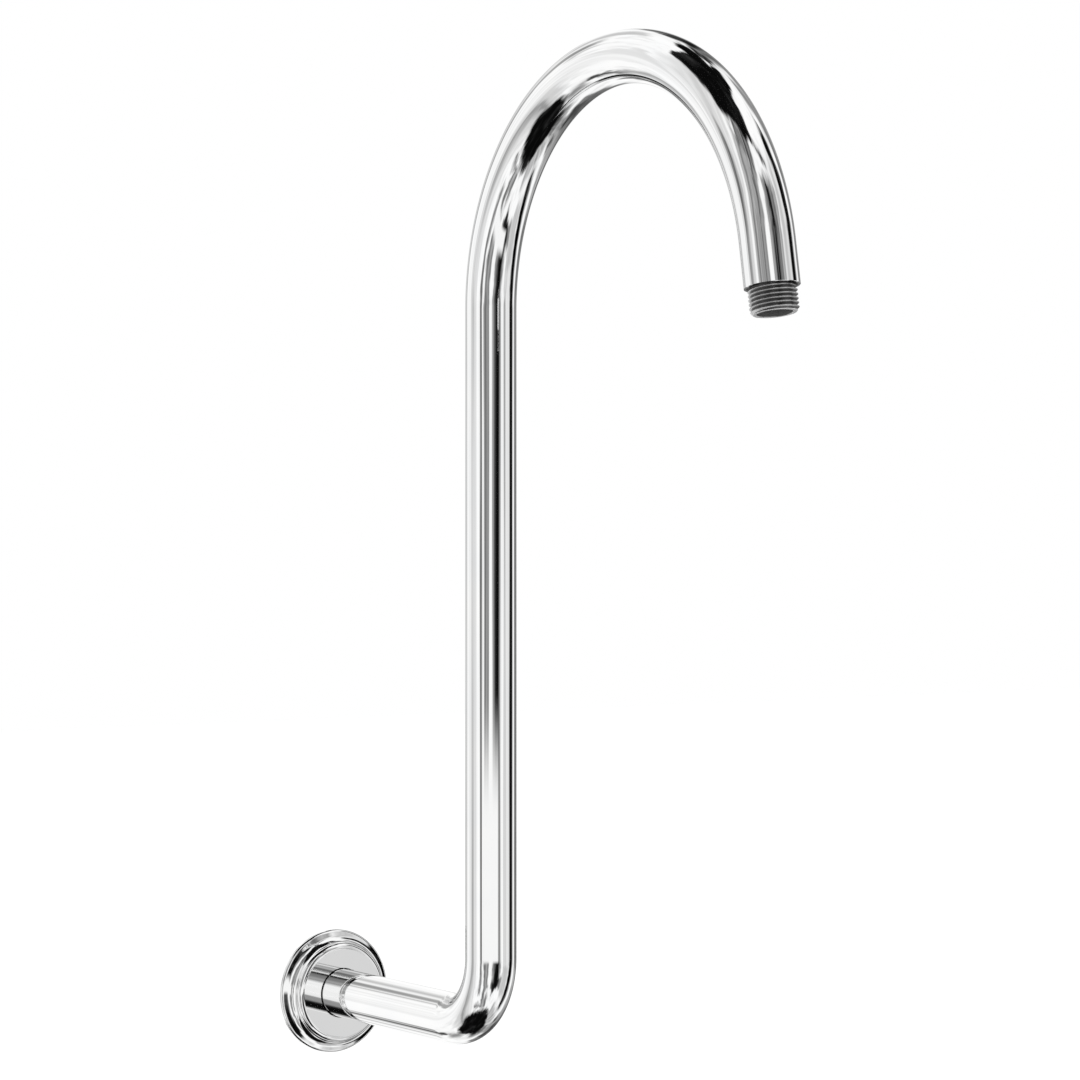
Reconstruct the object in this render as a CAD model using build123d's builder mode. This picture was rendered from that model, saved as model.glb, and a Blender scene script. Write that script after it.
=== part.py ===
from build123d import *
import os

# Gooseneck shower arm: a chrome-plated brass tube, bent twice, with a threaded nipple brazed into each end
# and a loose cover flange that slides along the level leg up to the wall.
# The origin is where the inlet's axis meets the wall, X runs out of the wall, Z is up, and the arm lies in XZ.
# Millimetres and degrees.

# Bent tube
tube_od = 24.0
tube_wall = 1.2
inlet_setback = 3.0  # from the wall to the tube's inlet end, which the flange hides
wall_to_riser = 145.6
elbow_radius = 32.8
riser_top = 335.0  # height of the gooseneck's centre above the inlet
neck_radius = 106.8
neck_turn = 170.0
tail_length = 19.0
tube_edge_chamfer = 0.15

# Threaded nipples, half-inch pipe thread, left plain at its major diameter
thread_od = 20.955
inlet_thread_length = 16.0
outlet_thread_length = 11.3
thread_chamfer = 1.25
relief_od = 18.2
relief_width = 0.5
waterway_bore = 15.2
spigot_length = 12.0
braze_gap = 0.05

# Cover flange
flange_od = 61.4
rim_land = 0.3  # straight edge of the rim, on the wall
rim_round = 2.0
band_slope = 20.0  # the band inside the rim leans out from the wall by this
band_width = 1.25
cove_round = 5.4
side_slope = 80.0  # the side of the inner ring, where the cove ends
side_width = 0.4
shoulder_round = 2.75
flange_wall = 2.0
rim_width = 2.4  # of the ring that touches the wall
rim_recess = 0.6
flange_clearance = 0.35  # radial gap round the tube
lip_chamfer = 0.2
hub_setback = 2.5  # the hub stands clear of the wall by this
hub_wall = 2.4

# Rubber ring in the flange's hub, which grips the tube
ring_cord = 2.0
ring_position = 5.7  # from the wall to the middle of the ring
ring_clearance = 0.05
groove_side_gap = 0.2

tube_radius = tube_od / 2
tube_bore_radius = tube_radius - tube_wall
thread_radius = thread_od / 2
waterway_radius = waterway_bore / 2
spigot_radius = tube_bore_radius - braze_gap


def nipple_outline(thread_length):
    """Half-section of a turned nipple as (radius, distance out from the tube's end): a spigot inside the tube,
    a narrow relief at the shoulder, the thread's land with a chamfered end, and the waterway through it all."""
    return [
        (waterway_radius, -spigot_length),
        (spigot_radius, -spigot_length),
        (spigot_radius, 0),
        (relief_od / 2, 0),
        (relief_od / 2, relief_width),
        (thread_radius, relief_width),
        (thread_radius, thread_length - thread_chamfer),
        (thread_radius - thread_chamfer, thread_length),
        (waterway_radius, thread_length),
    ]


# One tube from the wall to the outlet: level leg, elbow, riser, gooseneck and a short straight tail
with BuildPart() as arm_tube:
    with BuildLine(Plane.XZ) as centre_line:
        leg = Line((inlet_setback, 0), (wall_to_riser - elbow_radius, 0))
        elbow = JernArc(leg @ 1, leg % 1, elbow_radius, 90)
        riser = Line(elbow @ 1, (wall_to_riser, riser_top))
        neck = JernArc(riser @ 1, riser % 1, neck_radius, -neck_turn)
        tail = Line(neck @ 1, neck @ 1 + (neck % 1) * tail_length)
    inlet_end = centre_line.line @ 0
    outlet_end = centre_line.line @ 1
    outlet_direction = centre_line.line % 1
    with BuildSketch(Plane(origin=inlet_end, z_dir=(1, 0, 0))):
        Circle(tube_radius)
        Circle(tube_bore_radius, mode=Mode.SUBTRACT)
    sweep()
    outlet_face = arm_tube.faces().filter_by(GeomType.PLANE).sort_by_distance(outlet_end)[0]
    chamfer(outlet_face.outer_wire().edges(), tube_edge_chamfer)

# Turned brass nipple in the wall end, its thread reaching back into the wall
inlet_section = Plane(origin=inlet_end, x_dir=(0, 0, 1), z_dir=(0, -1, 0))
with BuildPart() as inlet_nipple:
    with BuildSketch(inlet_section):
        with BuildLine():
            Polyline(nipple_outline(inlet_thread_length), close=True)
        make_face()
    revolve(axis=Axis(inlet_end, inlet_section.y_dir))

# The same nipple with a shorter thread in the outlet end, where a shower rose screws on
outlet_section = Plane(origin=outlet_end, x_dir=(0, 1, 0), z_dir=Vector(0, 1, 0).cross(outlet_direction))
with BuildPart() as outlet_nipple:
    with BuildSketch(outlet_section):
        with BuildLine():
            Polyline(nipple_outline(outlet_thread_length), close=True)
        make_face()
    revolve(axis=Axis(outlet_end, outlet_direction))

# Turned flange: a rounded rim, a sloping band, a cove up to a rounded inner ring and a flat front, hollow behind,
# with a hub that carries the rubber ring
flange_radius = flange_od / 2
flange_bore_radius = tube_radius + flange_clearance
groove_radius = tube_radius + ring_cord + 2 * ring_clearance
groove_width = ring_cord + 2 * groove_side_gap
hub_radius = groove_radius + hub_wall
with BuildPart() as flange:
    with BuildSketch(Plane.XZ):
        with BuildLine():
            edge = Line((0, flange_radius), (rim_land, flange_radius))
            rim = JernArc(edge @ 1, edge % 1, rim_round, band_slope - 90)
            band = Line(rim @ 1, rim @ 1 + (rim % 1) * band_width)
            cove = JernArc(band @ 1, band % 1, cove_round, side_slope - band_slope)
            side = Line(cove @ 1, cove @ 1 + (cove % 1) * side_width)
            shoulder = JernArc(side @ 1, side % 1, shoulder_round, -side_slope)
            front = (shoulder @ 1).X
            hollow_radius = (cove @ 1).Y - flange_wall
            Polyline(
                shoulder @ 1,
                (front, flange_bore_radius + lip_chamfer),
                (front - lip_chamfer, flange_bore_radius),
                (hub_setback, flange_bore_radius),
                (hub_setback, hub_radius),
                (front - flange_wall, hub_radius),
                (front - flange_wall, hollow_radius),
                (rim_recess, hollow_radius),
                (rim_recess, flange_radius - rim_width),
                (0, flange_radius - rim_width),
                edge @ 0,
            )
        make_face()
        with Locations((ring_position, groove_radius)):
            Rectangle(groove_width, groove_radius, align=(Align.CENTER, Align.MAX), mode=Mode.SUBTRACT)
    revolve(axis=Axis.X)

# Rubber ring between the flange's groove and the tube
with BuildPart(Plane.YZ.offset(ring_position)) as flange_ring:
    Torus(tube_radius + ring_clearance + ring_cord / 2, ring_cord / 2)

os.makedirs("parts", exist_ok=True)
for piece, name in (
    (arm_tube, "arm_tube"),
    (inlet_nipple, "inlet_nipple"),
    (outlet_nipple, "outlet_nipple"),
    (flange, "flange"),
    (flange_ring, "flange_ring"),
):
    piece.part.label = name
    export_step(piece.part, f"parts/{name}.step")
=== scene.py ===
import math

import bpy
import numpy as np
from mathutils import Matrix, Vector


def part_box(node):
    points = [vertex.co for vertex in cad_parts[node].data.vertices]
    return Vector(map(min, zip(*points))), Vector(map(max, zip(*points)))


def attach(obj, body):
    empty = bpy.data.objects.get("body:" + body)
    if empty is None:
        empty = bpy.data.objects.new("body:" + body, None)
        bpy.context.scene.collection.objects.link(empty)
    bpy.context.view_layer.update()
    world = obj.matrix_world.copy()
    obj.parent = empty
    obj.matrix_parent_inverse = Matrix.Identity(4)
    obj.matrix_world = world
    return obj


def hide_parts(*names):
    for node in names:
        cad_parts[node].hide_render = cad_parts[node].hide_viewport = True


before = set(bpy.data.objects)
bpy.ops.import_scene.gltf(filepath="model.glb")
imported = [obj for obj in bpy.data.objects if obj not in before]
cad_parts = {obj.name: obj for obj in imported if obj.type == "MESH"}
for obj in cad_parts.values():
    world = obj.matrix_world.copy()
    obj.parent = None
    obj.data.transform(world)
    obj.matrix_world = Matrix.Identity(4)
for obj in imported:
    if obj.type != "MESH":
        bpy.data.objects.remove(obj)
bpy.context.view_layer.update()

# Arm tube: one length of drawn brass tube, bent twice over a mandrel so that it stays round, then
# polished outside and plated in bright chrome. It starts inside the flange with a level leg, rises, and
# turns over in a gooseneck that ends in a short straight tail, faced off square with a small chamfer.
tube_radius = 0.012
tube_wall = 0.0012
tube_bore_radius = tube_radius - tube_wall
tube_start = 0.003
tube_edge_chamfer = 0.00015
riser_from_wall = 0.1456
elbow_radius = 0.0328
neck_radius = 0.1068
neck_height = 0.335
neck_turn = math.radians(170)
leg_length = riser_from_wall - elbow_radius - tube_start
elbow_length = elbow_radius * math.pi / 2
riser_length = neck_height - elbow_radius
neck_length = neck_radius * neck_turn
tail_length = 0.019
arm_length = leg_length + elbow_length + riser_length + neck_length + tail_length


def arm_line(along):
    """Points of the arm's centre line and the line's upper side there, for distances along it from the
    wall end. Each run adds its own share: the level leg goes out, the elbow is a quarter circle that
    turns up, the riser goes up, the gooseneck is an arc that turns out and over, and the tail carries on
    in its last direction."""
    leg = np.clip(along, 0, leg_length)
    along = along - leg_length
    elbow = np.clip(along, 0, elbow_length) / elbow_radius
    along = along - elbow_length
    riser = np.clip(along, 0, riser_length)
    along = along - riser_length
    neck = np.clip(along, 0, neck_length) / neck_radius
    tail = np.clip(along - neck_length, 0, tail_length)
    out = tube_start + leg + elbow_radius * np.sin(elbow) + neck_radius * (1 - np.cos(neck))
    up = elbow_radius * (1 - np.cos(elbow)) + riser + neck_radius * np.sin(neck)
    heading = elbow - neck
    out = out + tail * np.cos(heading)
    up = up + tail * np.sin(heading)
    still = np.zeros_like(out)
    return np.stack((out, still, up), -1), np.stack((-np.sin(heading), still, np.cos(heading)), -1)


def tube_skin(along, radius, columns):
    """Grid of the tube's skin: a closed outline of distances along the centre line and radii from it,
    each pair turned into a circle of points in the plane square to the line."""
    centre, upper = arm_line(along)
    turn = np.linspace(0, 2 * np.pi, columns, endpoint=False)
    across = np.array((0.0, 1.0, 0.0))
    spoke = np.cos(turn)[None, :, None] * upper[:, None] + np.sin(turn)[None, :, None] * across
    return centre[:, None] + radius[:, None, None] * spoke


def closed_piece(name, grid):
    """Object made of a grid of points whose rows and columns both run round to their start: each cell is
    one four-sided face. Faces that meet at more than thirty degrees keep a crisp edge and the rest shade
    smooth."""
    rows, columns = grid.shape[:2]
    here = np.arange(rows * columns).reshape(rows, columns)
    below = np.roll(here, -1, axis=0)
    beside = np.roll(here, -1, axis=1)
    corner = np.roll(below, -1, axis=1)
    faces = np.stack((here, below, corner, beside), -1).reshape(-1, 4)
    mesh = bpy.data.meshes.new(name)
    mesh.from_pydata(grid.reshape(-1, 3), [], faces)
    mesh.shade_smooth()
    mesh.set_sharp_from_angle(angle=math.radians(30))
    piece = bpy.data.objects.new(name, mesh)
    bpy.context.collection.objects.link(piece)
    return piece


elbow_rings = 73
neck_rings = 181
bore_thinning = 4  # the bore keeps one in this many of the bends' rings
tube_columns = 192
elbow_stops = leg_length + np.linspace(0, elbow_length, elbow_rings)
neck_stops = arm_length - tail_length - neck_length + np.linspace(0, neck_length, neck_rings)
outer_stops = np.concatenate(([0.0], elbow_stops, neck_stops, [arm_length - tube_edge_chamfer]))
bore_stops = np.concatenate((
    [arm_length], neck_stops[::-bore_thinning], elbow_stops[::-bore_thinning], [0.0],
))
tube_outline_along = np.concatenate((outer_stops, [arm_length], bore_stops))
tube_outline_radius = np.concatenate((
    np.full(outer_stops.shape, tube_radius),
    [tube_radius - tube_edge_chamfer],
    np.full(bore_stops.shape, tube_bore_radius),
))
arm_tube = closed_piece("arm_tube_skin", tube_skin(tube_outline_along, tube_outline_radius, tube_columns))


def mark_polish(piece, levels, columns):
    """Stores a piece's polish, from 0 to 1, for each point of its outline, the same all the way round."""
    layer = piece.data.attributes.new("polish", "FLOAT", "POINT")
    layer.data.foreach_set("value", np.repeat(levels, columns))


bore_inside = len(bore_stops) - 1  # all of the bore's stops but the one on the tube's end
mark_polish(
    arm_tube,
    np.concatenate((np.ones(len(tube_outline_along) - bore_inside), np.zeros(bore_inside))),
    tube_columns,
)


def noise(tree, scale, detail, distortion=0.0):
    """Noise spread through the piece's own space, with that many cells to the metre."""
    place = tree.nodes.new("ShaderNodeTexCoord")
    grain = tree.nodes.new("ShaderNodeTexNoise")
    grain.inputs["Scale"].default_value = scale
    grain.inputs["Detail"].default_value = detail
    grain.inputs["Distortion"].default_value = distortion
    tree.links.new(place.outputs["Object"], grain.inputs["Vector"])
    return grain.outputs["Fac"]


noise_low = 0.3  # a noise keeps mostly between these two
noise_high = 0.7


def spread(tree, factor, low, high):
    """Value that runs from low to high as the factor goes over the middle of its range."""
    span = tree.nodes.new("ShaderNodeMapRange")
    span.inputs["From Min"].default_value = noise_low
    span.inputs["From Max"].default_value = noise_high
    span.inputs["To Min"].default_value = low
    span.inputs["To Max"].default_value = high
    tree.links.new(factor, span.inputs["Value"])
    return span.outputs["Result"]


def tone(tree, factor, first, second):
    """Colour that runs from the first to the second as the factor goes over the middle of its range."""
    ramp = tree.nodes.new("ShaderNodeValToRGB")
    ramp.color_ramp.elements[0].position = noise_low
    ramp.color_ramp.elements[0].color = (*first, 1)
    ramp.color_ramp.elements[1].position = noise_high
    ramp.color_ramp.elements[1].color = (*second, 1)
    tree.links.new(factor, ramp.inputs["Fac"])
    return ramp.outputs["Color"]


def relief(tree, factor, depth):
    """Bump that raises the surface by the factor to that depth in metres."""
    bump = tree.nodes.new("ShaderNodeBump")
    bump.inputs["Strength"].default_value = 1.0
    bump.inputs["Distance"].default_value = depth
    tree.links.new(factor, bump.inputs["Height"])
    return bump


# The chrome is a near mirror with a faint waviness. Where it isn't polished, in the tube's bore and on
# the flange's back, it is grey and dull, with rings from the lathe.
chrome_tints = (0.90, 0.905, 0.91), (0.93, 0.93, 0.925)
chrome_waviness = 0.000004
dull_tints = (0.40, 0.395, 0.385), (0.50, 0.495, 0.485)
dull_roughness = 0.3
lathe_ring_scale = 350  # puts the rings about 0.9 mm apart
lathe_ring_depth = 0.000012
bright_chrome = bpy.data.materials.new("bright_chrome")
bright_chrome.use_nodes = True
chrome_tree = bright_chrome.node_tree
chrome = chrome_tree.nodes["Principled BSDF"]
chrome.inputs["Metallic"].default_value = 1.0
chrome_cloud = noise(chrome_tree, 30, 2, 0.4)
chrome_grain = noise(chrome_tree, 900, 3)

polish_read = chrome_tree.nodes.new("ShaderNodeAttribute")
polish_read.attribute_name = "polish"
dullness = chrome_tree.nodes.new("ShaderNodeMapRange")
dullness.inputs["To Min"].default_value = 1.0
dullness.inputs["To Max"].default_value = 0.0
chrome_tree.links.new(polish_read.outputs["Fac"], dullness.inputs["Value"])
chrome_dull = dullness.outputs["Result"]

chrome_tint = chrome_tree.nodes.new("ShaderNodeMix")
chrome_tint.data_type = "RGBA"
chrome_tree.links.new(chrome_dull, chrome_tint.inputs["Factor"])
chrome_tree.links.new(tone(chrome_tree, chrome_cloud, *chrome_tints), chrome_tint.inputs["A"])
chrome_tree.links.new(tone(chrome_tree, chrome_grain, *dull_tints), chrome_tint.inputs["B"])
chrome_tree.links.new(chrome_tint.outputs["Result"], chrome.inputs["Base Color"])

chrome_rough = chrome_tree.nodes.new("ShaderNodeMath")
chrome_rough.operation = "MULTIPLY_ADD"
chrome_rough.inputs[1].default_value = dull_roughness
chrome_tree.links.new(chrome_dull, chrome_rough.inputs[0])
chrome_tree.links.new(spread(chrome_tree, chrome_grain, 0.02, 0.05), chrome_rough.inputs[2])
chrome_tree.links.new(chrome_rough.outputs[0], chrome.inputs["Roughness"])

lathe_place = chrome_tree.nodes.new("ShaderNodeTexCoord")
lathe_rings = chrome_tree.nodes.new("ShaderNodeTexWave")
lathe_rings.wave_type = "RINGS"
lathe_rings.rings_direction = "X"
lathe_rings.inputs["Scale"].default_value = lathe_ring_scale
chrome_tree.links.new(lathe_place.outputs["Object"], lathe_rings.inputs["Vector"])
wavy = relief(chrome_tree, chrome_cloud, chrome_waviness)
turned = relief(chrome_tree, lathe_rings.outputs["Fac"], lathe_ring_depth)
chrome_tree.links.new(chrome_dull, turned.inputs["Strength"])
chrome_tree.links.new(wavy.outputs["Normal"], turned.inputs["Normal"])
chrome_tree.links.new(turned.outputs["Normal"], chrome.inputs["Normal"])
arm_tube.data.materials.append(bright_chrome)
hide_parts("arm_tube")
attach(arm_tube, "arm")

# Threaded nipples: turned brass, one brazed into each end of the tube by a spigot. Each has a narrow
# relief at the tube's end, a half-inch pipe thread and a chamfered mouth. The thread's roots and the
# relief are painted dark as painted shade, lighter towards the crests; the bore is dark and dull, and the
# mouth's chamfer is bright.
thread_radius = 0.020955 / 2
thread_pitch = 0.001814
thread_depth = 0.640327 * thread_pitch  # of the 55 degree pipe thread
thread_chamfer = 0.00125
thread_start = 0.57  # share of a turn by which the thread's first crest is turned round
start_steepness = 4  # the thread's run-in rises this much for each unit along it
relief_radius = 0.0091
relief_width = 0.0005
waterway_radius = 0.0076
mouth_break = 0.0003
spigot_length = 0.012
braze_gap = 0.00005
spigot_radius = tube_bore_radius - braze_gap
inlet_thread_length = 0.016
outlet_thread_length = 0.0113
# levels of the nipples' colour: the low one darkens the thread's roots and the relief as painted shade
root_plating_and_shade = 0.2
crest_plating_and_shade = 0.6
nipple_columns = 144
cuts_per_pitch = 26


def nipple_skin(end, direction, thread_length):
    """Grid of a nipple's skin about its own axis, and a level from 0 to 1 for its colour at each point.
    The outline is closed, as radii and distances out from the tube's end. In the thread the radius is a
    wave along the axis that moves on by one pitch in each turn: a triangle, rounded at its crests and
    roots by a cubic, and held under a slope at both ends of the thread. The level is 0 in the bore, low in
    the relief and the roots as painted shade, and it rises with the wave to the crests and to 1 on the
    mouth's slope."""
    turn = np.linspace(2 * np.pi, 0, nipple_columns, endpoint=False)
    cuts = round((thread_length - relief_width) / thread_pitch * cuts_per_pitch)
    cut = np.linspace(relief_width, thread_length, cuts)
    out_before = [thread_length - mouth_break, -spigot_length, -spigot_length, 0.0, 0.0]
    radius_before = [waterway_radius, waterway_radius, spigot_radius, spigot_radius, relief_radius]
    in_thread = slice(len(out_before), -1)
    out = np.concatenate((out_before, cut, [thread_length]))
    radius = np.concatenate((radius_before, np.full(cuts, thread_radius), [waterway_radius + mouth_break]))
    out = np.broadcast_to(out[:, None], (len(out), nipple_columns))
    radius = np.broadcast_to(radius[:, None], out.shape).copy()
    turns_on = (cut[:, None] / thread_pitch - turn / (2 * np.pi) + thread_start) % 1.0
    flank = 1.5 * (1 - 4 * np.abs(turns_on - 0.5))
    wave = thread_depth / 2 * (flank - 4 * flank ** 3 / 27)
    thread = thread_radius - thread_depth / 2 + wave
    start_slope = relief_radius + start_steepness * (cut[:, None] - relief_width)
    end_slope = thread_radius - thread_chamfer + (thread_length - cut[:, None])
    radius[in_thread] = np.minimum(thread, np.minimum(start_slope, end_slope))
    plating_and_shade = np.full(out.shape, root_plating_and_shade)
    plating_and_shade[:2] = 0.0
    # painted shade: the level rises from the dark roots up the wave to the lighter crests
    lift = (0.5 + wave / thread_depth) * (start_slope > thread)
    shaded_by_depth = root_plating_and_shade + (crest_plating_and_shade - root_plating_and_shade) * lift
    plating_and_shade[in_thread] = np.where(end_slope < thread, 1.0, shaded_by_depth)
    plating_and_shade[-1] = 1.0
    across = np.array((0.0, 1.0, 0.0))
    side = np.cross(across, direction)
    spoke = np.cos(turn)[:, None] * side + np.sin(turn)[:, None] * across
    return end + out[..., None] * direction + radius[..., None] * spoke, plating_and_shade


def graded(tree, factor, stops, way="LINEAR"):
    """Grey that runs through (place, level) stops as the factor rises."""
    ramp = tree.nodes.new("ShaderNodeValToRGB")
    ramp.color_ramp.interpolation = way
    knots = ramp.color_ramp.elements
    for knot, (place, level) in zip(knots, (stops[0], stops[-1])):
        knot.position = place
        knot.color = (level, level, level, 1)
    for place, level in stops[1:-1]:
        knots.new(place).color = (level, level, level, 1)
    tree.links.new(factor, ramp.inputs["Fac"])
    return ramp.outputs["Color"]


# colour and metalness by the nipples' level: the low levels give the dark, dull bore and, as painted
# shade, the dark thread roots and relief
plating_and_shade_tints = (0.08, 0.16), (0.22, 0.14), (0.36, 0.28), (0.58, 0.62), (1.0, 0.62)
plating_and_shade_metal = (0.08, 0.4), (0.18, 1.0), (0.64, 1.0), (0.9, 0.5)
plating_patchiness = 0.06
thread_wear_depth = 0.000001
plated_thread = bpy.data.materials.new("plated_thread")
plated_thread.use_nodes = True
thread_tree = plated_thread.node_tree
thread_shader = thread_tree.nodes["Principled BSDF"]
plating_and_shade_read = thread_tree.nodes.new("ShaderNodeAttribute")
plating_and_shade_read.attribute_name = "plating_and_shade"
plating_and_shade_patch = thread_tree.nodes.new("ShaderNodeMath")
plating_and_shade_patch.operation = "MULTIPLY_ADD"
plating_and_shade_patch.inputs[1].default_value = plating_patchiness
thread_tree.links.new(noise(thread_tree, 700, 3), plating_and_shade_patch.inputs[0])
thread_tree.links.new(plating_and_shade_read.outputs["Fac"], plating_and_shade_patch.inputs[2])
plating_and_shade_level = plating_and_shade_patch.outputs[0]
for stops, socket in ((plating_and_shade_tints, "Base Color"), (plating_and_shade_metal, "Metallic")):
    thread_tree.links.new(graded(thread_tree, plating_and_shade_level, stops), thread_shader.inputs[socket])
thread_grain = noise(thread_tree, 2500, 4)
thread_tree.links.new(spread(thread_tree, thread_grain, 0.28, 0.38), thread_shader.inputs["Roughness"])
thread_wear = relief(thread_tree, noise(thread_tree, 1200, 2), thread_wear_depth)
thread_tree.links.new(thread_wear.outputs["Normal"], thread_shader.inputs["Normal"])
inlet_end, outlet_end = arm_line(np.array((0.0, arm_length)))[0]
inlet_direction = np.array((-1.0, 0.0, 0.0))
outlet_direction = np.array((math.sin(neck_turn), 0.0, math.cos(neck_turn)))
for node, end, direction, thread_length in (
    ("inlet_nipple", inlet_end, inlet_direction, inlet_thread_length),
    ("outlet_nipple", outlet_end, outlet_direction, outlet_thread_length),
):
    nipple_grid, nipple_plating_and_shade = nipple_skin(end, direction, thread_length)
    nipple = closed_piece(node + "_thread", nipple_grid)
    plating_and_shade_layer = nipple.data.attributes.new("plating_and_shade", "FLOAT", "POINT")
    plating_and_shade_layer.data.foreach_set("value", nipple_plating_and_shade.ravel())
    nipple.data.materials.append(plated_thread)
    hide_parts(node)
    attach(nipple, "arm")

# Cover flange: turned from brass and chromed like the tube, with a rounded rim, a sloping band, a cove up
# to a rounded inner ring, and a flat front with a fine line turned round it. It is hollow behind and left
# dull there, and it slides on the tube, with a hub that carries a rubber ring in a groove.
flange_low, flange_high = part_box("flange")
flange_radius = (flange_high[1] - flange_low[1]) / 2
flange_front = flange_high[0]
rim_land = 0.0003
rim_round = 0.002
band_slope = 20
band_width = 0.00125
cove_round = 0.0054
side_slope = 80
side_width = 0.0004
shoulder_round = 0.00275
turned_line_width = 0.00016
turned_line_depth = 0.00006
flange_wall = 0.002
rim_width = 0.0024
rim_recess = 0.0006
flange_clearance = 0.00035  # radial gap round the tube
flange_bore_radius = tube_radius + flange_clearance
lip_chamfer = 0.0002
ring_cord = 0.002
ring_position = 0.0057
ring_clearance = 0.00005
groove_side_gap = 0.0002
groove_radius = tube_radius + ring_cord + 2 * ring_clearance
groove_half_width = ring_cord / 2 + groove_side_gap
hub_setback = 0.0025
hub_wall = 0.0024
hub_radius = groove_radius + hub_wall
flange_columns = 240


def outline_arc(start, size, first, last, steps):
    """Arc of the flange's outline, as distances out from the wall and radii, that starts at the point
    given. First and last are the angles of its face, from facing straight out towards facing the rim. A
    negative size is hollow."""
    facing = np.radians(np.linspace(first, last, steps))
    facing = np.stack((np.cos(facing), np.sin(facing)), -1)
    return np.asarray(start) + size * (facing - facing[0])


def outline_run(start, length, facing):
    """End of a straight run of the flange's outline: its start, moved by its length square to the way it
    faces, which is an angle as for the arcs."""
    return start + length * np.array((math.sin(math.radians(facing)), -math.cos(math.radians(facing))))


rim = outline_arc((rim_land, flange_radius), rim_round, 90, band_slope, steps=29)
band_end = outline_run(rim[-1], band_width, band_slope)
cove = outline_arc(band_end, -cove_round, band_slope, side_slope, steps=37)
side_end = outline_run(cove[-1], side_width, side_slope)
shoulder = outline_arc(side_end, shoulder_round, side_slope, 0, steps=41)
front_radius = shoulder[-1, 1]
hollow_radius = cove[-1, 1] - flange_wall
flange_face = [
    (flange_front - turned_line_depth, front_radius - turned_line_width / 2),
    (flange_front, front_radius - turned_line_width),
    (flange_front, flange_bore_radius + lip_chamfer),
    (flange_front - lip_chamfer, flange_bore_radius),
]
flange_back = [
    (ring_position + groove_half_width, flange_bore_radius),
    (ring_position + groove_half_width, groove_radius),
    (ring_position - groove_half_width, groove_radius),
    (ring_position - groove_half_width, flange_bore_radius),
    (hub_setback, flange_bore_radius),
    (hub_setback, hub_radius),
    (flange_front - flange_wall, hub_radius),
    (flange_front - flange_wall, hollow_radius),
    (rim_recess, hollow_radius),
    (rim_recess, flange_radius - rim_width),
    (0.0, flange_radius - rim_width),
]
flange_outline = np.concatenate(([(0.0, flange_radius)], rim, cove, shoulder, flange_face, flange_back))


def turned_skin(outline, columns):
    """Grid of a turned piece: each point of a closed outline, a distance out from the wall and a radius,
    is carried round the inlet's axis in a full circle."""
    turn = np.linspace(0, 2 * np.pi, columns, endpoint=False)
    out = np.broadcast_to(outline[:, :1], (len(outline), columns))
    return np.stack((out, outline[:, 1:] * np.sin(turn), outline[:, 1:] * np.cos(turn)), -1)


flange = closed_piece("flange_skin", turned_skin(flange_outline, flange_columns))
mark_polish(
    flange,
    np.concatenate((np.ones(len(flange_outline) - len(flange_back)), np.zeros(len(flange_back)))),
    flange_columns,
)
flange.data.materials.append(bright_chrome)
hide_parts("flange")
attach(flange, "cover")

# Rubber ring: a moulded ring of black rubber in the hub's groove, which grips the tube and holds the
# flange where it is pushed.
ring_rows = 32
ring_columns = 144
ring_turn = np.linspace(0, 2 * np.pi, ring_rows, endpoint=False)
ring_outline = np.stack((
    ring_position + ring_cord / 2 * np.cos(ring_turn),
    tube_radius + ring_clearance + ring_cord / 2 * (1 - np.sin(ring_turn)),
), -1)
flange_ring = closed_piece("flange_rubber_ring", turned_skin(ring_outline, ring_columns))

rubber_tints = (0.012, 0.012, 0.013), (0.026, 0.026, 0.027)
rubber_grain_depth = 0.00002
seal_rubber = bpy.data.materials.new("seal_rubber")
seal_rubber.use_nodes = True
rubber_tree = seal_rubber.node_tree
rubber = rubber_tree.nodes["Principled BSDF"]
rubber_cloud = noise(rubber_tree, 400, 3)
rubber_grain = noise(rubber_tree, 4000, 3)
rubber_bump = relief(rubber_tree, rubber_grain, rubber_grain_depth)
rubber_tree.links.new(tone(rubber_tree, rubber_cloud, *rubber_tints), rubber.inputs["Base Color"])
rubber_tree.links.new(spread(rubber_tree, rubber_grain, 0.5, 0.7), rubber.inputs["Roughness"])
rubber_tree.links.new(rubber_bump.outputs["Normal"], rubber.inputs["Normal"])
flange_ring.data.materials.append(seal_rubber)
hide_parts("flange_ring")
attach(flange_ring, "cover")

# Floor: a plain white studio floor well under the arm, which keeps its soft shadow. The chrome doesn't
# show it, because the studio round the arm is what the chrome mirrors.
floor_height = -0.3
floor_half = 6.0
floor_glow = 0.08  # lifts the floor to the photo's white where the camera sees it
floor_steps = np.linspace(-floor_half, floor_half, 3)
floor_x, floor_y = np.meshgrid(floor_steps, floor_steps, indexing="ij")
floor_grid = np.stack((floor_x, floor_y, np.full(floor_x.shape, floor_height)), -1)


def open_mesh(name, grid):
    """Mesh of a grid of points with four open sides: each cell is one four-sided face."""
    index = np.arange(grid[..., 0].size).reshape(grid.shape[:2])
    faces = np.stack((index[:-1, :-1], index[1:, :-1], index[1:, 1:], index[:-1, 1:]), -1).reshape(-1, 4)
    mesh = bpy.data.meshes.new(name)
    mesh.from_pydata(grid.reshape(-1, 3), [], faces)
    return mesh


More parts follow.
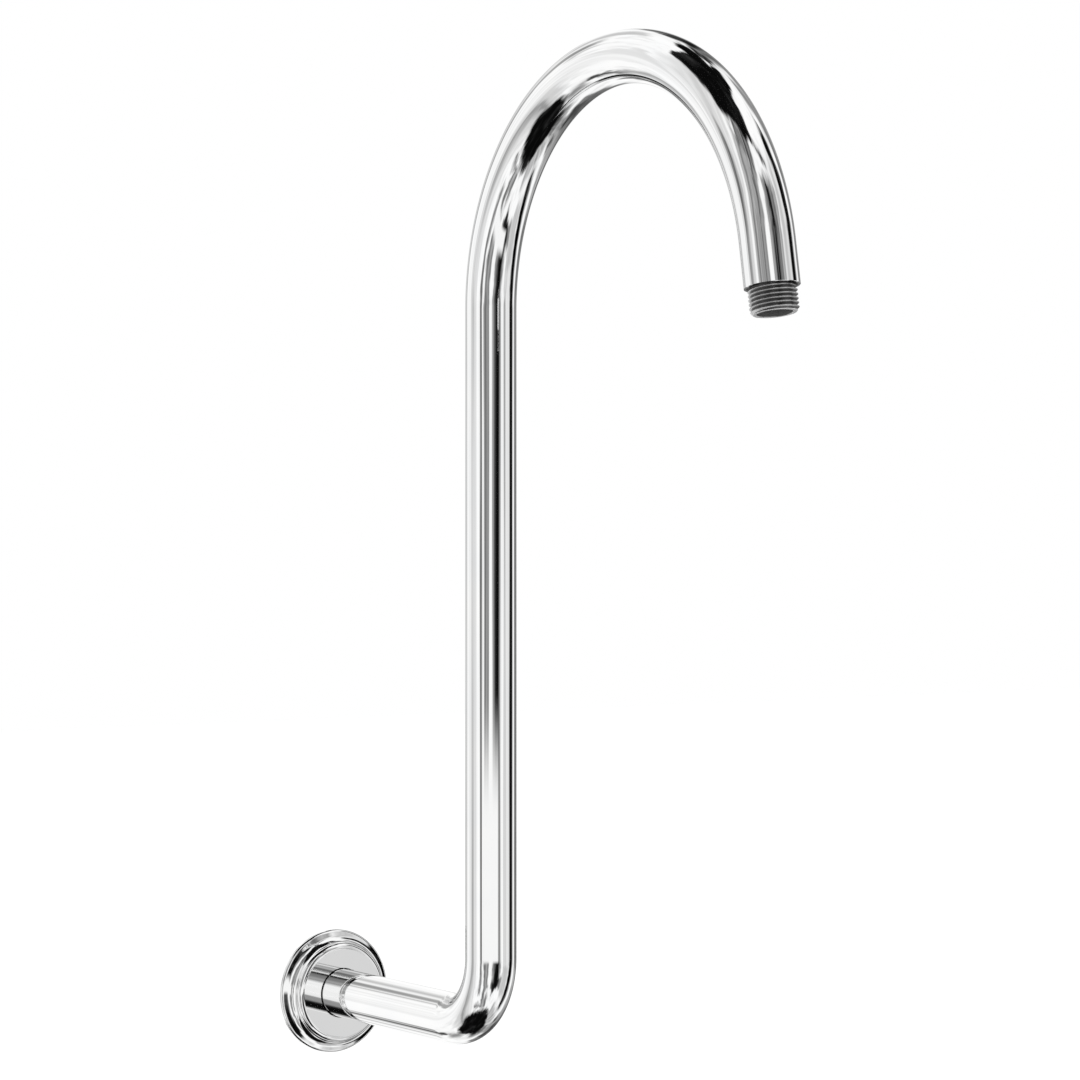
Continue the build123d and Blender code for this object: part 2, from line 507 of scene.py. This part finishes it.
floor_mesh = open_mesh("studio_floor", floor_grid)
floor = bpy.data.objects.new("studio_floor", floor_mesh)
bpy.context.collection.objects.link(floor)
white_floor = bpy.data.materials.new("white_floor")
white_floor.use_nodes = True
floor_tree = white_floor.node_tree
floor_shader = floor_tree.nodes["Principled BSDF"]
floor_shader.inputs["Base Color"].default_value = (0.95, 0.95, 0.95, 1)
floor_shader.inputs["Roughness"].default_value = 0.9
floor_shader.inputs["Specular IOR Level"].default_value = 0.0
floor_shader.inputs["Emission Color"].default_value = (1, 1, 1, 1)
floor_seen = floor_tree.nodes.new("ShaderNodeLightPath")
floor_lift = floor_tree.nodes.new("ShaderNodeMath")
floor_lift.operation = "MULTIPLY"
floor_lift.inputs[1].default_value = floor_glow
floor_tree.links.new(floor_seen.outputs["Is Camera Ray"], floor_lift.inputs[0])
floor_tree.links.new(floor_lift.outputs[0], floor_shader.inputs["Emission Strength"])
floor_mesh.materials.append(white_floor)
floor.visible_glossy = False

# Studio: white walls with grey and black cards and flags against them, between a dark ceiling and a dark
# floor, as for a photograph of chrome. The cards' edges waver, the white is uneven and the greys are
# streaky. Only the chrome mirrors it, and the camera and all that is dull see plain white light.
view_turn = math.radians(33.71)  # how far the camera stands round to the right of straight in front
studio = bpy.data.worlds.new("studio")
studio.use_nodes = True
bpy.context.scene.world = studio
sky = studio.node_tree
sky.nodes.clear()


def feed(socket, term):
    """Links another node's output to a socket, or sets a plain number on it."""
    if isinstance(term, bpy.types.NodeSocket):
        sky.links.new(term, socket)
    else:
        socket.default_value = term


def reckon(operation, *terms):
    """Output of one sum, with sockets or plain numbers as its terms."""
    node = sky.nodes.new("ShaderNodeMath")
    node.operation = operation
    for socket, term in zip(node.inputs, terms):
        feed(socket, term)
    return node.outputs[0]


def ease(value, start, end):
    """Smooth step from 0 at start to 1 at end."""
    node = sky.nodes.new("ShaderNodeMapRange")
    node.interpolation_type = "SMOOTHSTEP"
    sky.links.new(value, node.inputs["Value"])
    node.inputs["From Min"].default_value = start
    node.inputs["From Max"].default_value = end
    return node.outputs["Result"]


def laid_over(cover, under, over):
    """Brightness that goes from one socket or number to the other as the cover goes from 0 to 1."""
    node = sky.nodes.new("ShaderNodeMix")
    feed(node.inputs["Factor"], cover)
    feed(node.inputs["A"], under)
    feed(node.inputs["B"], over)
    return node.outputs["Result"]


toward = sky.nodes.new("ShaderNodeTexCoord")
toward_parts = sky.nodes.new("ShaderNodeSeparateXYZ")
sky.links.new(toward.outputs["Generated"], toward_parts.inputs["Vector"])
unevenness = sky.nodes.new("ShaderNodeTexNoise")
unevenness.inputs["Scale"].default_value = 6.0
unevenness.inputs["Detail"].default_value = 5.0
sky.links.new(toward.outputs["Generated"], unevenness.inputs["Vector"])
uneven = sky.nodes.new("ShaderNodeSeparateColor")
sky.links.new(unevenness.outputs["Color"], uneven.inputs["Color"])
edge_waver = 16.0  # degrees between the furthest shifts of a card's edge
view_shift = math.degrees(view_turn) - edge_waver / 2
sideways = reckon("MULTIPLY_ADD", uneven.outputs["Red"], edge_waver, view_shift)
bearing = reckon("DEGREES", reckon("ARCTAN2", toward_parts.outputs["Y"], toward_parts.outputs["X"]))
bearing = reckon("WRAP", reckon("ADD", bearing, sideways), 180.0, -180.0)
upwards = reckon("MULTIPLY_ADD", uneven.outputs["Green"], edge_waver, -edge_waver / 2)
height = reckon("ADD", reckon("DEGREES", reckon("ARCSINE", toward_parts.outputs["Z"])), upwards)


def with_card(wall, tint, middle, half_width, low, high, soft, lean=0.0):
    """Wall with a card of one brightness stood against it. The card's middle is in degrees round to the
    right of the camera, low and high are the heights of its foot and head, soft is half the width of its
    blurred edges, and lean is how far it rises for each degree to the right."""
    aside = reckon("SUBTRACT", bearing, middle)
    if abs(middle) + half_width + soft > 180:
        aside = reckon("WRAP", aside, 180.0, -180.0)
    across = ease(reckon("ABSOLUTE", aside), half_width + soft, half_width - soft)
    rise = reckon("SUBTRACT", height, reckon("MULTIPLY", aside, lean)) if lean else height
    upright = reckon("MULTIPLY", ease(rise, low - soft, low + soft), ease(rise, high + soft, high - soft))
    return laid_over(reckon("MULTIPLY", across, upright), wall, tint)


wall_white = 1.06
wall_shade = 0.16
wall = reckon("MULTIPLY_ADD", ease(uneven.outputs["Blue"], 0.45, 0.7), -wall_shade, wall_white)
for card in (
    # wall behind the arm, seen in the level leg and at the tube's left edge
    (0.60, -157, 11, -4, 22, 4),
    (0.62, -157, 8, 24, 48, 3),
    (0.28, -138.5, 4, -4, 34, 3),
    (0.40, -138.5, 5.5, -28, -2, 4),
    (0.14, -134, 12, -37, -28.5, 3, -0.7),
    (0.42, -130, 14, -62, -46, 5),
    (0.58, -151, 3, -36, -28, 3),
    (0.10, -160, 4.5, -26, -3, 3.5),
    (0.48, -128, 2, 20, 31, 2),
    (0.72, -110, 2.5, 6, 27, 2),
    # wall on the left
    (0.77, -85.3, 17.7, -46, 50, 4),
    (0.50, -80, 7, 4, 18, 4),
    (0.24, -88, 5, 4, 20, 4),
    (0.45, -88, 6, -44, -4, 4),
    (0.48, -54, 6, 8, 47, 4),
    (0.16, -43.5, 4.5, -36, 14, 3.5),
    (0.24, -47, 4, 10, 46, 3.5),
    (0.34, -36, 8, 10, 45, 4),
    (0.13, -24.8, 5.4, -56, 45, 3),
    (0.29, -14.5, 6, -40, 45, 4),
    (0.13, -25, 21, 43, 58, 4),
    # wall behind the camera, with a black flag
    (0.28, 15.5, 7.5, -41, 45, 3.2),
    (0.42, 42, 5, -26, 44, 4),
    (0.42, 57, 6, 14, 42, 4),
    (0.22, 46, 8, 14, 42, 5),
    (0.32, 66.5, 5, -8, 10, 4),
    (0.74, 79, 12, 6, 48, 5),
    (0.86, 81, 11, -14, 8, 4),
    (0.50, 75, 4, 14, 42, 4),
    (0.69, 67, 7, -14, -4, 3),
    (0.60, 74, 14, -46, -14, 4),
    (0.22, 50, 7, -40, -27, 4),
    (0.03, 29, 17, -43, -28, 4, 0.25),
    (0.006, 29, 10.6, -41, 16, 4.5),
    (0.006, 29, 10, 8, 26, 4.5),
    (0.006, 30.5, 8.5, 22, 45, 4.5),
    (0.30, -42, 15, -52, -47, 3, -0.45),
    (0.28, -16, 12, -62, -45, 4),
    (0.12, 44, 15, 51, 59, 4, -0.36),
    # wall on the right, with a second black flag
    (0.50, 92, 40, -74, -57, 5),
    (0.05, 103, 11, -53, -34, 5),
    (0.005, 104, 11.5, -38, 20, 4),
    (0.005, 106.5, 11.5, 0, 50, 4),
    (0.03, 115, 3, 24, 32, 4),
    (0.22, 144, 16, -14, 5, 5),
    (0.22, 147.5, 12.5, 3, 34, 5),
    (0.40, 146, 13, -58, -14, 5),
    (0.36, 141, 8, 30, 48, 4),
    (0.25, 165, 30, -74, -58, 5),
    (0.13, 168, 12, -46, 4, 5),
    (0.08, 155, 5, -43, -33, 4),
    (0.09, 136, 4.5, -49, -41, 3),
    (0.30, 166, 8, -4, 26, 5),
    (0.16, 162, 7, 24, 52, 6),
    (0.04, 174, 7.5, 24, 50, 4),
    (0.05, 163, 11, 50, 65, 4),
):
    wall = with_card(wall, *card)

# Upright streaks in the greys: the brightness is raised to a power that a stretched noise moves about 1.
streaks_across = 0.14  # cells of the noise for each degree round the studio
streaks_up = 0.01
streak_depth = 2.4
streak_pick = 4.0  # which layer of the noise is taken
streak_place = sky.nodes.new("ShaderNodeCombineXYZ")
sky.links.new(reckon("MULTIPLY", bearing, streaks_across), streak_place.inputs["X"])
sky.links.new(reckon("MULTIPLY", height, streaks_up), streak_place.inputs["Y"])
streak_place.inputs["Z"].default_value = streak_pick
streaks = sky.nodes.new("ShaderNodeTexNoise")
streaks.inputs["Scale"].default_value = 1.0
streaks.inputs["Detail"].default_value = 2.0
sky.links.new(streak_place.outputs["Vector"], streaks.inputs["Vector"])
streak_power = reckon("MULTIPLY_ADD", streaks.outputs["Fac"], streak_depth, 1 - streak_depth / 2)
wall = reckon("POWER", wall, streak_power)


def wall_limit(stops):
    """Height at which the walls end, in degrees, drawn as a curve through (bearing, height) stops."""
    round_about = reckon("DIVIDE", reckon("ADD", bearing, 180.0), 360.0)
    stops = [((turn + 180) / 360, level / 90) for turn, level in stops]
    return reckon("MULTIPLY", graded(sky, round_about, stops, "CARDINAL"), 90.0)


ceiling_edge = wall_limit((
    (-180, 55), (-170, 58), (-162, 61), (-148, 66), (-130, 67), (-118, 60), (-108, 49), (-88, 50),
    (-66, 47), (-52, 51), (-38, 57), (-20, 56), (-6, 56), (8, 60), (26, 60), (36, 68), (56, 77), (90, 79),
    (120, 72), (146, 61), (164, 70), (180, 55),
))
floor_edge = wall_limit((
    (-180, 67), (-160, 69), (-140, 66), (-122, 60), (-110, 51), (-88, 44), (-66, 47), (-46, 57),
    (-24, 63), (0, 65), (30, 68), (60, 73), (110, 74), (150, 72), (180, 67),
))
rafters = sky.nodes.new("ShaderNodeTexNoise")
rafters.inputs["Scale"].default_value = 3.0
rafters.inputs["Detail"].default_value = 3.0
sky.links.new(toward.outputs["Generated"], rafters.inputs["Vector"])
dark_low = 0.003
dark_glint = 0.03
dark = reckon("MULTIPLY", ease(rafters.outputs["Fac"], 0.45, 0.75), dark_glint)
dark = reckon("ADD", dark, dark_low)
above_wall = reckon("SUBTRACT", height, ceiling_edge)
below_wall = reckon("MULTIPLY_ADD", height, -1.0, reckon("MULTIPLY", floor_edge, -1.0))
ceiling_blur = 2.5  # half the width of the soft edge, in degrees
floor_blur = 4.0
mirrored = laid_over(ease(above_wall, -ceiling_blur, ceiling_blur), wall, dark)
mirrored = laid_over(ease(below_wall, -floor_blur, floor_blur), mirrored, dark)

# Glossy rays get the studio, and all others get plain white.
seen_by = sky.nodes.new("ShaderNodeLightPath")
plain_light = sky.nodes.new("ShaderNodeBackground")
plain_light.inputs["Color"].default_value = (1, 1, 1, 1)
plain_light.inputs["Strength"].default_value = 1.0
mirrored_light = sky.nodes.new("ShaderNodeBackground")
mirrored_light.inputs["Color"].default_value = (1, 1, 1, 1)
sky.links.new(mirrored, mirrored_light.inputs["Strength"])
either = sky.nodes.new("ShaderNodeMixShader")
sky.links.new(seen_by.outputs["Is Glossy Ray"], either.inputs["Fac"])
sky.links.new(plain_light.outputs["Background"], either.inputs[1])
sky.links.new(mirrored_light.outputs["Background"], either.inputs[2])
world_out = sky.nodes.new("ShaderNodeOutputWorld")
sky.links.new(either.outputs["Shader"], world_out.inputs["Surface"])

# A softbox over the arm gives the dull pieces some shape and the floor its soft shadow. The chrome
# doesn't show it.
softbox = bpy.data.lights.new("softbox", "AREA")
softbox.shape = "DISK"
softbox.size = 1.2
softbox.energy = 12.0
softbox_stand = bpy.data.objects.new("softbox", softbox)
softbox_stand.location = (0.5, -0.6, 1.6)
softbox_aim = Vector((0.2, 0.0, 0.2)) - softbox_stand.location
softbox_stand.rotation_euler = softbox_aim.to_track_quat("-Z", "Y").to_euler()
softbox_stand.visible_glossy = False
bpy.context.collection.objects.link(softbox_stand)

# White sill: a low curved white board that stands between the arm and the black flag, with soft edges.
# Only the chrome sees it, low in the riser and as a bright band across the flange.
sill_reach = 0.65  # from the riser's axis
sill_left = -35  # degrees round from the camera
sill_right = 38
sill_foot = -0.11
sill_head = 0.118
side_fade = 7  # degrees
foot_fade = 0.055
head_fade = 0.085
sill_columns = 74
sill_rows = 77
sill_bearing, sill_height = np.meshgrid(
    np.linspace(sill_left, sill_right, sill_columns),
    np.linspace(sill_foot, sill_head, sill_rows),
    indexing="ij",
)
sill_turn = np.radians(sill_bearing) - view_turn
sill_grid = np.stack((
    riser_from_wall + sill_reach * np.cos(sill_turn), sill_reach * np.sin(sill_turn), sill_height,
), -1)
sill_mesh = open_mesh("studio_sill", sill_grid)


def faded(distance, width):
    """Smooth step from 0 at no distance in from an edge to 1 at the width of its fade."""
    share = np.clip(distance / width, 0, 1)
    return share * share * (3 - 2 * share)


sill_cover = faded(sill_bearing - sill_left, side_fade) * faded(sill_right - sill_bearing, side_fade)
sill_cover *= faded(sill_height - sill_foot, foot_fade) * faded(sill_head - sill_height, head_fade)
sill_mesh.attributes.new("cover", "FLOAT", "POINT").data.foreach_set("value", sill_cover.ravel())
sill = bpy.data.objects.new("studio_sill", sill_mesh)
bpy.context.collection.objects.link(sill)
white_sill = bpy.data.materials.new("white_sill")
white_sill.use_nodes = True
sill_tree = white_sill.node_tree
sill_tree.nodes.clear()
sill_read = sill_tree.nodes.new("ShaderNodeAttribute")
sill_read.attribute_name = "cover"
sill_clear = sill_tree.nodes.new("ShaderNodeBsdfTransparent")
sill_white = sill_tree.nodes.new("ShaderNodeEmission")
sill_white.inputs["Color"].default_value = (1, 1, 1, 1)
sill_white.inputs["Strength"].default_value = 1.0
sill_edge = sill_tree.nodes.new("ShaderNodeMixShader")
sill_out = sill_tree.nodes.new("ShaderNodeOutputMaterial")
sill_tree.links.new(sill_read.outputs["Fac"], sill_edge.inputs["Fac"])
sill_tree.links.new(sill_clear.outputs["BSDF"], sill_edge.inputs[1])
sill_tree.links.new(sill_white.outputs["Emission"], sill_edge.inputs[2])
sill_tree.links.new(sill_edge.outputs["Shader"], sill_out.inputs["Surface"])
sill_mesh.materials.append(white_sill)
sill.visible_camera = False
sill.visible_diffuse = False
sill.visible_transmission = False
sill.visible_shadow = False

# Camera: level, at the height of the riser's middle, with a long lens from the front and to the right of
# the arm. A small downward shift frames the whole arm.
camera = bpy.data.cameras.new("camera")
camera.sensor_fit = "HORIZONTAL"
camera.sensor_width = 36.0
camera.lens = 116.25
camera.shift_y = -0.03756
camera_stand = bpy.data.objects.new("camera", camera)
camera_stand.location = (1.51335, -0.88489, 0.24645)
aim = Vector((-math.cos(view_turn), math.sin(view_turn), 0.0))
camera_stand.rotation_euler = aim.to_track_quat("-Z", "Y").to_euler()
bpy.context.collection.objects.link(camera_stand)
bpy.context.scene.camera = camera_stand
bpy.context.scene.view_settings.view_transform = "Standard"
